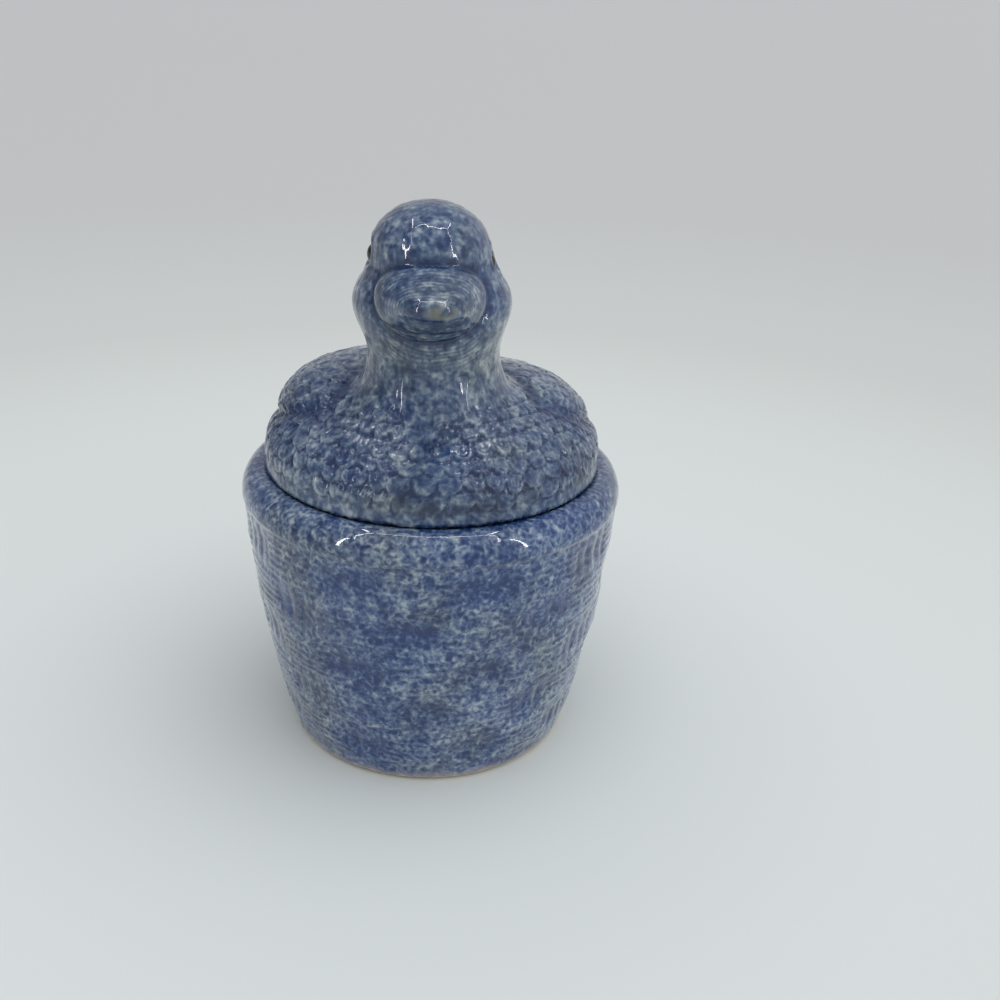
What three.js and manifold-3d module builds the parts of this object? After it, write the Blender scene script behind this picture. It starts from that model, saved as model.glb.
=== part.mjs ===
// Duck trinket box: a basket-weave bowl and a lid shaped as a sitting duck, both slip-cast and glazed.
// Millimetres, +Z up. The origin is the middle of the foot, and the duck faces -Y.
import * as THREE from "three";
import { mergeVertices } from "three/addons/utils/BufferGeometryUtils.js";
import Module from "manifold-3d";

const wasm = await Module();
wasm.setup();

// Bowl
const bowlRadius = 43;
const bowlHeight = 66;
const footRadius = 33;
const footRounding = 3;
const footRecessRadius = 24;
const footRecessDepth = 1.5;
const bowlWall = 4.4;
const bowlFloor = 5.5;
const floorRounding = 9;
const wallFullness = 1.7;

// Rolled collar round the mouth, and the gallery inside it that carries the lid
const collarHeight = 7;
const collarStep = 0.8;
const collarUnderRounding = 0.6;
const lipThickness = 7;
const lipOuterRun = 4.7;
const galleryDepth = 4;
const galleryWidth = 3.5;
const galleryThickness = 3.6;
const galleryRake = 5;

// Basket weave: stakes stand upright and groups of strands pass over and under them
const weaveBands = 5;
const stakeCount = 18;
const weaveSwell = 0.5;
const bandGroove = 0.55;
const weaveBottom = 5;

// Lid
const lidPlay = 0.8;
const seatGap = 0.3;
const lidWall = 3.7;
const skirtRounding = 0.8;
const bellyOverhang = 2.2;
const bellyRise = 4.1;
const bellyRounding = 1.4;
const backRise = 16;
const boreOverlap = 1;

// Duck, measured up from its back and along its own length
const neckSetForward = 9;
const neckRadius = 14;
const neckRise = 7.5;
const neckLength = 55.4;
const neckFlare = 11;
const throatFillet = 5;
const headTurn = 2.6;
const headLean = 2.6;
const cheekRadius = 16.7;
const cheekLength = 15.3;
const cheekDepth = 10.4;
const cheekRise = 11.2;
const crownRadius = 12.1;
const crownLength = 13.2;
const crownDepth = 9.1;
const crownRise = 11.3;
const browFillet = 4.5;

// Bill: a broad root that fills the face, and the blunt tip that stands out of it
const billFillet = 1.5;
const billRootWidth = 23.6;
const billRootLength = 20.4;
const billRootThickness = 18;
const billRootForward = 9;
const billRootDrop = 8.9;
const billRootTilt = 8;
const billTipWidth = 15.8;
const billTipLength = 16;
const billTipThickness = 7.6;
const billTipForward = 16.6;
const billTipDrop = 8.2;
const billTipTilt = 3;

// Folded wings and tail
const wingFillet = 3;
const wingFrontLength = 26;
const wingRearLength = 31;
const wingWidth = 38.2;
const wingThickness = 24.4;
const wingSpread = 16;
const wingSetBack = 9;
const rightWingDrop = 11.4;
const leftWingDrop = 13.6;
const wingToeIn = 13;
const wingTilt = -5;
const tailFillet = 5;
const tailLength = 28;
const tailWidth = 22;
const tailThickness = 9;
const tailSetBack = 28;
const tailDrop = 4.4;
const tailTilt = 26;

// Eyes: enamelled beads in round sockets
const eyeRadius = 2;
const eyeProud = 0.8;
const eyeForward = 1;
const eyeDrop = 1.3;
const eyeGap = 0.3;

// Facets
const bowlSegments = 3 * stakeCount;
const rowsPerBand = 4;
const roundingSteps = 4;
const skinCell = 2.6;
const hollowCell = 4;
const skirtSegments = 60;

// Sizes that follow from the driving ones
const shoulderRadius = bowlRadius - collarStep;
const collarBottom = bowlHeight - collarHeight;
const bandHeight = (collarBottom - weaveBottom) / weaveBands;
const lipInnerRun = lipThickness - lipOuterRun;
const lipOuterRise = collarHeight - 2 * collarUnderRounding;
const mouthRadius = bowlRadius - lipThickness;
const galleryHeight = bowlHeight - galleryDepth;
const galleryRadius = mouthRadius - galleryWidth;
const skirtRadius = mouthRadius - lidPlay;
const skirtBottom = galleryHeight + seatGap;
const skirtTop = bowlHeight + seatGap;
const hollowBottomHeight = skirtTop + lidWall;
const bellyRadius = skirtRadius + bellyOverhang;
const bellyHeight = skirtTop + bellyRise;
const backHeight = bellyHeight + backRise;
const neckHeight = backHeight + neckRise;
const cheekHeight = neckHeight + cheekRise;
const crownHeight = cheekHeight + crownRise;
const eyeHeight = crownHeight - eyeDrop;

const radians = THREE.MathUtils.degToRad;

const glaze = new THREE.MeshStandardMaterial({ color: 0x6b7f9f, roughness: 0.16, metalness: 0 });
const lidGlaze = new THREE.MeshStandardMaterial({ color: 0x7286a4, roughness: 0.16, metalness: 0 });
const eyeEnamel = new THREE.MeshStandardMaterial({ color: 0x1c1310, roughness: 0.08, metalness: 0 });

function weld(geometry) {
  geometry.deleteAttribute("normal");
  geometry.deleteAttribute("uv");
  return mergeVertices(geometry, 1e-4);
}

function toSolid(geometry) {
  const welded = weld(geometry);
  const vertProperties = new Float32Array(welded.attributes.position.array);
  const triVerts = new Uint32Array(welded.index.array);
  return new wasm.Manifold(new wasm.Mesh({ numProp: 3, vertProperties, triVerts }));
}

function toGeometry(solid) {
  const mesh = solid.getMesh();
  const geometry = new THREE.BufferGeometry();
  geometry.setAttribute("position", new THREE.BufferAttribute(mesh.vertProperties, 3));
  geometry.setIndex(new THREE.BufferAttribute(mesh.triVerts, 1));
  geometry.computeVertexNormals();
  return geometry;
}

function namedMesh(name, geometry, material) {
  const mesh = new THREE.Mesh(geometry, material);
  mesh.name = name;
  return mesh;
}

// A profile of (radius, height) points turned about the Z axis
function turned(points, segments) {
  return new THREE.LatheGeometry(points, segments).rotateX(Math.PI / 2);
}

// Points along an arc about (radius, height), with its angles in degrees and its own run and rise
function arc(radius, height, run, from, to, rise = run) {
  const points = [];
  for (let i = 0; i <= roundingSteps; i++) {
    const angle = radians(from + ((to - from) * i) / roundingSteps);
    points.push(new THREE.Vector2(radius + run * Math.cos(angle), height + rise * Math.sin(angle)));
  }
  return points;
}

// Outside of the bowl's wall, which swells from the foot to the shoulder under the collar
function wallRadius(height) {
  const below = Math.max(0, 1 - height / collarBottom);
  return shoulderRadius - (shoulderRadius - footRadius) * below ** wallFullness;
}

// How far the weave stands out of the wall: strands cross over one stake and under the next.
// The angle is measured from the front.
function weaveRelief(angle, height) {
  const band = (height - weaveBottom) / bandHeight;
  if (band <= 0 || band >= weaveBands) return 0;
  const swell = Math.sin(Math.PI * (band % 1));
  const side = Math.floor(band) % 2 === 0 ? 1 : -1;
  return weaveSwell * side * Math.cos((angle * stakeCount) / 2) * swell - bandGroove * (1 - swell);
}

function bowlProfile() {
  const points = [new THREE.Vector2(0, footRecessDepth)];
  points.push(new THREE.Vector2(footRecessRadius - footRecessDepth, footRecessDepth));
  points.push(new THREE.Vector2(footRecessRadius, 0));
  const cornerRadius = wallRadius(footRounding) - footRounding;
  points.push(...arc(cornerRadius, footRounding, footRounding, -90, -8));
  for (let row = 0; row <= weaveBands * rowsPerBand; row++) {
    const height = weaveBottom + (row * bandHeight) / rowsPerBand;
    points.push(new THREE.Vector2(wallRadius(height), height));
  }
  const underHeight = collarBottom + collarUnderRounding;
  points.push(...arc(bowlRadius - collarUnderRounding, underHeight, collarUnderRounding, -70, 0));
  points.push(...arc(bowlRadius - lipOuterRun, bowlHeight - lipOuterRise, lipOuterRun, 0, 90, lipOuterRise));
  points.push(...arc(mouthRadius + lipInnerRun, bowlHeight - lipInnerRun, lipInnerRun, 90, 180));
  points.push(new THREE.Vector2(mouthRadius, galleryHeight));
  points.push(new THREE.Vector2(galleryRadius, galleryHeight));
  points.push(new THREE.Vector2(galleryRadius, galleryHeight - galleryThickness));
  const hollowTop = galleryHeight - galleryThickness - galleryRake;
  const hollowBottom = bowlFloor + floorRounding;
  for (let band = 0; band < weaveBands; band++) {
    const height = hollowTop - ((hollowTop - hollowBottom) * band) / weaveBands;
    points.push(new THREE.Vector2(wallRadius(height) - bowlWall, height));
  }
  const cornerCentre = wallRadius(hollowBottom) - bowlWall - floorRounding;
  points.push(...arc(cornerCentre, hollowBottom, floorRounding, 0, -90));
  points.push(new THREE.Vector2(0, bowlFloor));
  return points;
}

function basketBowl() {
  const geometry = weld(turned(bowlProfile(), bowlSegments));
  const position = geometry.attributes.position;
  for (let i = 0; i < position.count; i++) {
    const [x, y, z] = [position.getX(i), position.getY(i), position.getZ(i)];
    const radius = Math.hypot(x, y);
    const onOutside = z > weaveBottom && z < collarBottom && radius > wallRadius(z) - bowlWall / 2;
    if (!onOutside) continue;
    const scale = 1 + weaveRelief(Math.atan2(x, -y), z) / radius;
    position.setXY(i, x * scale, y * scale);
  }
  geometry.computeVertexNormals();
  return geometry;
}

// Distance from a point to an ellipsoid, negative inside. It is true near the surface. The rear half can
// be drawn out to a length of its own, so that the form tapers like an egg.
function ellipsoid({ at, radii, rear = radii[1], pitch = 0, yaw = 0 }) {
  const turn = new THREE.Euler(radians(pitch), 0, radians(yaw), "ZYX");
  const undo = new THREE.Matrix4().makeRotationFromEuler(turn).setPosition(...at).invert();
  const [rx, front, rz] = radii;
  const p = new THREE.Vector3();
  return (x, y, z) => {
    p.set(x, y, z).applyMatrix4(undo);
    const ry = p.y > 0 ? rear : front;
    const reach = Math.hypot(p.x / rx, p.y / ry, p.z / rz);
    const slope = Math.hypot(p.x / rx ** 2, p.y / ry ** 2, p.z / rz ** 2);
    return slope < 1e-9 ? -Math.min(rx, front, rz) : (reach * (reach - 1)) / slope;
  };
}

// Union of two forms with a fillet of about the given size where they meet
function blended(first, second, fillet) {
  return (x, y, z) => {
    const a = first(x, y, z);
    const b = second(x, y, z);
    const near = Math.max(fillet - Math.abs(a - b), 0) / fillet;
    return Math.min(a, b) - (near * near * fillet) / 4;
  };
}

// What lies inside a form and above a height, with the edge between them rounded
function cutBelow(form, height, rounding) {
  const outside = blended((x, y, z) => -form(x, y, z), (x, y, z) => z - height, rounding);
  return (x, y, z) => -outside(x, y, z);
}

function thinned(form, amount) {
  return (x, y, z) => form(x, y, z) + amount;
}

// The sitting body: a low dome over a short upright wall
function bodyForm() {
  const dome = ellipsoid({ at: [0, 0, bellyHeight], radii: [bellyRadius, bellyRadius, backRise] });
  return (x, y, z) => (z > bellyHeight ? dome(x, y, z) : Math.hypot(x, y) - bellyRadius);
}

// A place on the head's own axis, or in front of it and beside it. The head looks a little to the duck's
// left and leans a little to its right, as on the real one.
function onHead(height, forward = 0, aside = 0) {
  const leaning = -Math.tan(radians(headLean)) * (height - cheekHeight);
  const [ahead, across] = [Math.cos(radians(headTurn)), Math.sin(radians(headTurn))];
  const x = leaning + forward * across + aside * ahead;
  const y = -neckSetForward - forward * ahead + aside * across;
  return [x, y, height];
}

// Body, neck and head without what is only on the outside, so the hollow follows it too
function hollowForm() {
  const neck = ellipsoid({ at: onHead(neckHeight), radii: [neckRadius, neckRadius, neckLength / 2] });
  const cheeks = ellipsoid({
    at: onHead(cheekHeight),
    radii: [cheekRadius, cheekLength, cheekDepth],
    yaw: headTurn,
  });
  const crown = ellipsoid({
    at: onHead(crownHeight),
    radii: [crownRadius, crownLength, crownDepth],
    yaw: headTurn,
  });
  const head = blended(cheeks, crown, browFillet);
  return blended(bodyForm(), blended(neck, head, throatFillet), neckFlare);
}

function billForm() {
  const root = ellipsoid({
    at: onHead(crownHeight - billRootDrop, billRootForward),
    radii: [billRootWidth / 2, billRootLength / 2, billRootThickness / 2],
    pitch: billRootTilt,
    yaw: headTurn,
  });
  const tip = ellipsoid({
    at: onHead(crownHeight - billTipDrop, billTipForward),
    radii: [billTipWidth / 2, billTipLength / 2, billTipThickness / 2],
    pitch: billTipTilt,
    yaw: headTurn,
  });
  return blended(root, tip, billFillet);
}

// The duck's left wing lies a little lower than its right one
function wingForm(side) {
  const drop = side > 0 ? leftWingDrop : rightWingDrop;
  return ellipsoid({
    at: [side * wingSpread, wingSetBack, backHeight - drop],
    radii: [wingWidth / 2, wingFrontLength, wingThickness / 2],
    rear: wingRearLength,
    yaw: side * wingToeIn,
    pitch: wingTilt,
  });
}

function tailForm() {
  return ellipsoid({
    at: [0, tailSetBack, backHeight - tailDrop],
    radii: [tailWidth / 2, tailLength / 2, tailThickness / 2],
    pitch: tailTilt,
  });
}

function duckForm() {
  let form = blended(hollowForm(), tailForm(), tailFillet);
  form = blended(form, wingForm(1), wingFillet);
  form = blended(form, wingForm(-1), wingFillet);
  return blended(form, billForm(), billFillet);
}

// The surface where a form's distance is zero, as a net of four-sided cells with one point in each
function netSurface(form, low, high, cell) {
  const count = low.map((start, axis) => Math.ceil((high[axis] - start) / cell) + 1);
  const stride = [1, count[0], count[0] * count[1]];
  const place = (i, axis) => low[axis] + i * cell;
  const distance = new Float32Array(count[0] * count[1] * count[2]);
  for (let k = 0, n = 0; k < count[2]; k++) {
    for (let j = 0; j < count[1]; j++) {
      for (let i = 0; i < count[0]; i++) distance[n++] = form(place(i, 0), place(j, 1), place(k, 2));
    }
  }
  const points = [];
  const pointOf = new Map();
  const corners = [0, 1, 2, 3, 4, 5, 6, 7].map((c) => [c & 1, (c >> 1) & 1, (c >> 2) & 1]);
  const offsets = corners.map(([i, j, k]) => i * stride[0] + j * stride[1] + k * stride[2]);
  const cellPoint = (cellIndex, i, j, k) => {
    if (pointOf.has(cellIndex)) return pointOf.get(cellIndex);
    const sum = new THREE.Vector3();
    let crossings = 0;
    for (let a = 0; a < 8; a++) {
      for (const bit of [1, 2, 4]) {
        const b = a | bit;
        if (b === a) continue;
        const from = distance[cellIndex + offsets[a]];
        const to = distance[cellIndex + offsets[b]];
        if (from < 0 === to < 0) continue;
        const share = from / (from - to);
        const along = corners[a].map((value, axis) => value + share * (corners[b][axis] - value));
        sum.add(new THREE.Vector3(...along));
        crossings++;
      }
    }
    sum.divideScalar(crossings);
    points.push(place(i + sum.x, 0), place(j + sum.y, 1), place(k + sum.z, 2));
    pointOf.set(cellIndex, points.length / 3 - 1);
    return points.length / 3 - 1;
  };
  const triangles = [];
  for (let k = 1; k < count[2] - 1; k++) {
    for (let j = 1; j < count[1] - 1; j++) {
      for (let i = 1; i < count[0] - 1; i++) {
        const node = i + j * stride[1] + k * stride[2];
        for (let axis = 0; axis < 3; axis++) {
          const inside = distance[node] < 0;
          if (inside === distance[node + stride[axis]] < 0) continue;
          const [u, v] = [(axis + 1) % 3, (axis + 2) % 3];
          const quad = [[0, 0], [1, 0], [1, 1], [0, 1]].map(([backU, backV]) => {
            const at = [i, j, k];
            at[u] -= backU;
            at[v] -= backV;
            return cellPoint(at[0] + at[1] * stride[1] + at[2] * stride[2], ...at);
          });
          if (!inside) quad.reverse();
          triangles.push(quad[0], quad[1], quad[2], quad[0], quad[2], quad[3]);
        }
      }
    }
  }
  const geometry = new THREE.BufferGeometry();
  geometry.setAttribute("position", new THREE.Float32BufferAttribute(points, 3));
  geometry.setIndex(triangles);
  return geometry;
}

// Both run on into the belly, so that they join with what the net makes of it
function skirt() {
  const points = [new THREE.Vector2(0, skirtBottom)];
  points.push(...arc(skirtRadius - skirtRounding, skirtBottom + skirtRounding, skirtRounding, -90, 0));
  points.push(new THREE.Vector2(skirtRadius, skirtTop + boreOverlap));
  points.push(new THREE.Vector2(0, skirtTop + boreOverlap));
  return toSolid(turned(points, skirtSegments));
}

function skirtHollow() {
  const radius = skirtRadius - lidWall;
  const points = [new THREE.Vector2(0, skirtBottom - lidWall)];
  points.push(new THREE.Vector2(radius, skirtBottom - lidWall));
  points.push(new THREE.Vector2(radius, hollowBottomHeight + boreOverlap));
  points.push(new THREE.Vector2(0, hollowBottomHeight + boreOverlap));
  return toSolid(turned(points, skirtSegments));
}

function eyeCentre(side) {
  return onHead(eyeHeight, eyeForward, side * (crownRadius + eyeProud - eyeRadius));
}

function bead(side, radius) {
  const sphere = new THREE.SphereGeometry(radius, 12, 8).rotateZ(Math.PI / 2);
  return sphere.translate(...eyeCentre(side));
}

function duckLid() {
  const reach = bellyRadius + tailLength;
  const low = [-reach, -reach, skirtTop - 1.5 * skinCell];
  const high = [reach, reach, crownHeight + crownDepth + cheekDepth];
  const outside = cutBelow(duckForm(), skirtTop, bellyRounding);
  const outer = toSolid(netSurface(outside, low, high, skinCell));
  const hollow = cutBelow(thinned(hollowForm(), lidWall), hollowBottomHeight, bellyRounding);
  const inner = toSolid(netSurface(hollow, low, high, hollowCell));
  let lid = outer.add(skirt()).subtract(inner.add(skirtHollow()));
  for (const side of [-1, 1]) lid = lid.subtract(toSolid(bead(side, eyeRadius + eyeGap)));
  return toGeometry(lid);
}

const group = new THREE.Group();
group.add(namedMesh("basket_bowl", basketBowl(), glaze));
group.add(namedMesh("duck_lid", duckLid(), lidGlaze));
group.add(namedMesh("right_eye", bead(-1, eyeRadius), eyeEnamel));
group.add(namedMesh("left_eye", bead(1, eyeRadius), eyeEnamel));

export default group;
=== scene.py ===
# Duck trinket box in sponged blue glaze: a basket-weave bowl under a hollow lid shaped as a sitting duck.
# Forms are worked in millimetres, as the maker's drawing gives them, and brought to metres at the end.
import math

import bmesh
import bpy
import numpy as np
from mathutils import Matrix, Vector, noise


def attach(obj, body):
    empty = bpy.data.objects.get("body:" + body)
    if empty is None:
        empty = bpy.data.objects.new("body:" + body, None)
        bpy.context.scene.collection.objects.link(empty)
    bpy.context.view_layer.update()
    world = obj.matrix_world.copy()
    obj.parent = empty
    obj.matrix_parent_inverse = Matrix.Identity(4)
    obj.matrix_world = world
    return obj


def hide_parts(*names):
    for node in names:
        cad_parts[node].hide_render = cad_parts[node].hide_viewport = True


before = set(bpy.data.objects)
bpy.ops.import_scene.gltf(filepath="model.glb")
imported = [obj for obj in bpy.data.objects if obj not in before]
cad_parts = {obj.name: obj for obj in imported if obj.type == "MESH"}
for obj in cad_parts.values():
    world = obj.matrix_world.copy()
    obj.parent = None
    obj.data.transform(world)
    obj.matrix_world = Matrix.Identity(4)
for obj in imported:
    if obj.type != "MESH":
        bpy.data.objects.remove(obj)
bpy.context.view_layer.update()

MM = 0.001

# Bowl, as in the frame
BOWL_RADIUS, BOWL_HEIGHT = 43.0, 66.0
FOOT_RADIUS, FOOT_ROUNDING = 33.0, 3.0
FOOT_RECESS_RADIUS, FOOT_RECESS_DEPTH = 24.0, 1.5
BOWL_WALL, BOWL_FLOOR, FLOOR_ROUNDING = 4.4, 5.5, 9.0
WALL_FULLNESS = 1.7
COLLAR_HEIGHT, COLLAR_STEP, COLLAR_UNDER = 7.0, 0.8, 0.6
LIP_THICKNESS, LIP_OUTER_RUN = 7.0, 4.7
GALLERY_DEPTH, GALLERY_WIDTH, GALLERY_THICKNESS, GALLERY_RAKE = 4.0, 3.5, 3.6, 5.0
WEAVE_BANDS, WEAVE_PAIRS, WEAVE_BOTTOM = 5, 9, 5.0
BAND_STRANDS, OVER_SHARE = 6, 0.275

SHOULDER_RADIUS = BOWL_RADIUS - COLLAR_STEP
COLLAR_BOTTOM = BOWL_HEIGHT - COLLAR_HEIGHT
BAND_HEIGHT = (COLLAR_BOTTOM - WEAVE_BOTTOM) / WEAVE_BANDS
LIP_INNER_RUN = LIP_THICKNESS - LIP_OUTER_RUN
LIP_OUTER_RISE = COLLAR_HEIGHT - 2 * COLLAR_UNDER
MOUTH_RADIUS = BOWL_RADIUS - LIP_THICKNESS
GALLERY_HEIGHT = BOWL_HEIGHT - GALLERY_DEPTH
GALLERY_RADIUS = MOUTH_RADIUS - GALLERY_WIDTH

# Lid, as in the frame
LID_PLAY, SEAT_GAP, LID_WALL, SKIRT_ROUNDING = 0.8, 0.3, 3.7, 0.8
BELLY_OVERHANG, BELLY_RISE, BELLY_ROUNDING, BACK_RISE = 2.2, 4.1, 0.6, 16.0
BORE_OVERLAP = 1.0

SKIRT_RADIUS = MOUTH_RADIUS - LID_PLAY
SKIRT_BOTTOM, SKIRT_TOP = GALLERY_HEIGHT + SEAT_GAP, BOWL_HEIGHT + SEAT_GAP
HOLLOW_BOTTOM = SKIRT_TOP + LID_WALL
BELLY_RADIUS, BELLY_HEIGHT = SKIRT_RADIUS + BELLY_OVERHANG, SKIRT_TOP + BELLY_RISE

# Duck, as in the frame
NECK_FORWARD, HEAD_TURN, HEAD_LEAN = 9.0, 2.6, 2.6
NECK_FLARE, THROAT_FILLET, BROW_FILLET = 11.0, 5.0, 4.5
BILL_FILLET, WING_FILLET, TAIL_FILLET, SADDLE_FILLET = 1.5, 3.0, 5.0, 4.0
BACK_HEIGHT = BELLY_HEIGHT + BACK_RISE
NECK_HEIGHT = BACK_HEIGHT + 7.5
CHEEK_HEIGHT = NECK_HEIGHT + 11.2
CROWN_HEIGHT = CHEEK_HEIGHT + 11.3
CROWN_RADIUS = 12.1
EYE_RADIUS, EYE_PROUD, EYE_FORWARD, EYE_DROP = 2.0, 0.8, 1.0, 1.3

# Eyes as the photo shows them: taller than the solids' beads, and on each side so much lower and further out
EYE_LENGTH = 1.2
RIGHT, LEFT = -1, 1
EYE_MOVES = {RIGHT: (0.60, 0.10), LEFT: (1.80, 0.44)}
SOCKET_DEPTH, SOCKET_RIM = 1.2, 0.22

# Weave relief, out of the wall or into it
OVER_RISE, STRAND_RISE, OVER_SINK = 0.40, 0.22, 0.12
STAKE_RISE, STAKE_SWELL, STAKE_SINK = 0.18, 0.10, 0.20
PIT_DEPTH, GROOVE_DEPTH = 0.38, 0.18

# Feather relief: shares of a feather's lift, and places and widths measured inwards from its edge
FEATHER_STEP, FEATHER_UNDERCUT = 0.55, 0.85
RIM_RISE, RIM_PLACE, RIM_WIDTH = 0.50, 0.50, 0.40
DIP_DEPTH, DIP_PLACE = 0.25, 1.30
SEAM_DEPTH, SEAM_WIDTH = 0.45, 0.30
SHAFT_RISE, SHAFT_WIDTH, SHAFT_PLACE = 0.15, 0.32, 0.7
BREAST_LIFT, BREAST_CALM, BACK_LIFT, WING_LIFT, TAIL_LIFT = 0.42, 0.24, 0.42, 0.46, 0.42

# Creases between the forms, and the mouth's line
WING_CREASE, TAIL_CREASE, BILL_CREASE, BROW_CREASE, MOUTH_DEPTH = 0.85, 0.35, 0.75, 0.40, 0.36

# The belly's edge is drawn down and out over the collar
HEM_DROP, HEM_OUT = 0.30, 0.35

# Mesh fineness
BOWL_COLUMNS = 440
WEAVE_ROW = 0.43
LID_VOXEL = 0.95


def ease(low, high, value):
    share = np.clip((value - low) / (high - low), 0, 1)
    return share * share * (3 - 2 * share)


def hump(value, width):
    return np.exp(-((value / width) ** 2))


def wander(points, grain, offset=0.0):
    """Slow unevenness of a handmade surface, from -1 to 1, in swells about grain millimetres across.

    The offset picks another run of it."""
    shift = Vector((offset, 2.3 * offset, -1.7 * offset))
    return np.array([noise.noise(Vector(p) / grain + shift) for p in points])


def points_of(mesh):
    flat = np.empty(len(mesh.vertices) * 3, np.float32)
    mesh.vertices.foreach_get("co", flat)
    return flat.reshape(-1, 3).astype(float)


def put_points(mesh, points):
    mesh.vertices.foreach_set("co", np.asarray(points, np.float32).ravel())
    mesh.update()


def put_value(mesh, name, values):
    layer = mesh.attributes.new(name, "FLOAT", "POINT")
    layer.data.foreach_set("value", np.asarray(values, np.float32))


def piece_from(bm, name):
    mesh = bpy.data.meshes.new(name)
    bm.to_mesh(mesh)
    bm.free()
    mesh.polygons.foreach_set("use_smooth", [True] * len(mesh.polygons))
    piece = bpy.data.objects.new(name, mesh)
    bpy.context.scene.collection.objects.link(piece)
    return piece


def finished(piece, material, body, node):
    mesh = piece.data
    put_points(mesh, points_of(mesh) * MM)
    mesh.materials.clear()
    mesh.materials.append(material)
    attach(piece, body)
    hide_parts(node)
    return piece


def arc(radius, height, run, start, end, rise=None, steps=6):
    rise = run if rise is None else rise
    angles = [math.radians(start + (end - start) * i / steps) for i in range(steps + 1)]
    return [(radius + run * math.cos(a), height + rise * math.sin(a)) for a in angles]


def between(first, last, spacing):
    """Points after first up to and with last, about spacing apart."""
    steps = max(1, round(math.dist(first, last) / spacing))
    return [tuple(f + (t - f) * i / steps for f, t in zip(first, last)) for i in range(1, steps + 1)]


def wall_radius(height):
    below = np.maximum(0, 1 - height / COLLAR_BOTTOM)
    return SHOULDER_RADIUS - (SHOULDER_RADIUS - FOOT_RADIUS) * below ** WALL_FULLNESS


def collar_radius(height):
    """The outside of the wall, where it swells softly into the rolled collar."""
    return wall_radius(height) + COLLAR_STEP * ease(COLLAR_BOTTOM - 1.0, BOWL_HEIGHT - LIP_OUTER_RISE, height)


def bowl_profile():
    points = [(0, FOOT_RECESS_DEPTH)]
    points += between(points[-1], (FOOT_RECESS_RADIUS - FOOT_RECESS_DEPTH, FOOT_RECESS_DEPTH), 4)
    points += between(points[-1], (FOOT_RECESS_RADIUS, 0), 1)
    corner = wall_radius(FOOT_ROUNDING) - FOOT_ROUNDING
    points += between(points[-1], (corner, 0), 1.5)
    points += arc(corner, FOOT_ROUNDING, FOOT_ROUNDING, -90, -8)[1:]
    rows = round((COLLAR_BOTTOM - WEAVE_BOTTOM) / WEAVE_ROW)
    for row in range(rows + 1):
        height = WEAVE_BOTTOM + (COLLAR_BOTTOM - WEAVE_BOTTOM) * row / rows
        points.append((float(collar_radius(height)), height))
    lip_low = BOWL_HEIGHT - LIP_OUTER_RISE
    for height in np.linspace(COLLAR_BOTTOM, lip_low, 5)[1:-1]:
        points.append((float(collar_radius(height)), float(height)))
    points += arc(BOWL_RADIUS - LIP_OUTER_RUN, lip_low, LIP_OUTER_RUN, 0, 90, LIP_OUTER_RISE, steps=14)
    points += arc(MOUTH_RADIUS + LIP_INNER_RUN, BOWL_HEIGHT - LIP_INNER_RUN, LIP_INNER_RUN, 90, 180)[1:]
    points += between(points[-1], (MOUTH_RADIUS, GALLERY_HEIGHT), 0.8)
    points += between(points[-1], (GALLERY_RADIUS, GALLERY_HEIGHT), 0.8)
    points += between(points[-1], (GALLERY_RADIUS, GALLERY_HEIGHT - GALLERY_THICKNESS), 0.9)
    top = GALLERY_HEIGHT - GALLERY_THICKNESS - GALLERY_RAKE
    bottom = BOWL_FLOOR + FLOOR_ROUNDING
    points += between(points[-1], (float(wall_radius(top)) - BOWL_WALL, top), 1.2)
    for row in range(1, 23):
        height = top - (top - bottom) * row / 22
        points.append((float(wall_radius(height)) - BOWL_WALL, height))
    corner = float(wall_radius(bottom)) - BOWL_WALL - FLOOR_ROUNDING
    points += arc(corner, bottom, FLOOR_ROUNDING, 0, -90, steps=8)[1:]
    points += between(points[-1], (0, BOWL_FLOOR), 4)
    return points


def weave(turn, height):
    """How far the weave stands out of the wall, how far its strands lie sideways, and how deep its pits go."""
    band = (height - WEAVE_BOTTOM) / BAND_HEIGHT
    row = np.clip(np.floor(band), 0, WEAVE_BANDS - 1)
    climb = band - row
    rise = np.sin(np.pi * np.clip(climb, 0, 1))
    shift = np.where(row % 2 == 0, 0.0, 0.5)
    place = (turn * WEAVE_PAIRS / (2 * np.pi) + shift + 0.5) % 1 - 0.5
    over_across = place / OVER_SHARE
    stake_across = (np.abs(place) - 0.5) / (0.5 - OVER_SHARE) * np.sign(place)
    over = 1 - ease(OVER_SHARE - 0.02, OVER_SHARE + 0.05, np.abs(place))
    strand = np.sin(np.pi * BAND_STRANDS * climb) ** 2
    stake = np.abs(np.cos(1.5 * np.pi * stake_across)) ** 0.7
    over_height = OVER_RISE * (1 - 0.5 * over_across ** 2) * rise ** 0.6 + STRAND_RISE * strand - OVER_SINK
    stake_height = STAKE_RISE * stake + STAKE_SWELL * rise - STAKE_SINK
    pit = (1 - over) * hump(1 - rise, 0.40) * (1 - 0.6 * stake)
    groove = hump(1 - rise, 0.22)
    relief = over * over_height + (1 - over) * stake_height - PIT_DEPTH * pit - GROOVE_DEPTH * groove
    inside = ease(-0.12, 0.05, band) * (1 - ease(WEAVE_BANDS - 0.06, WEAVE_BANDS + 0.06, band))
    dark = pit + 0.5 * groove + 0.25 * over * (1 - strand)
    return relief * inside, over * inside, dark * inside


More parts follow.
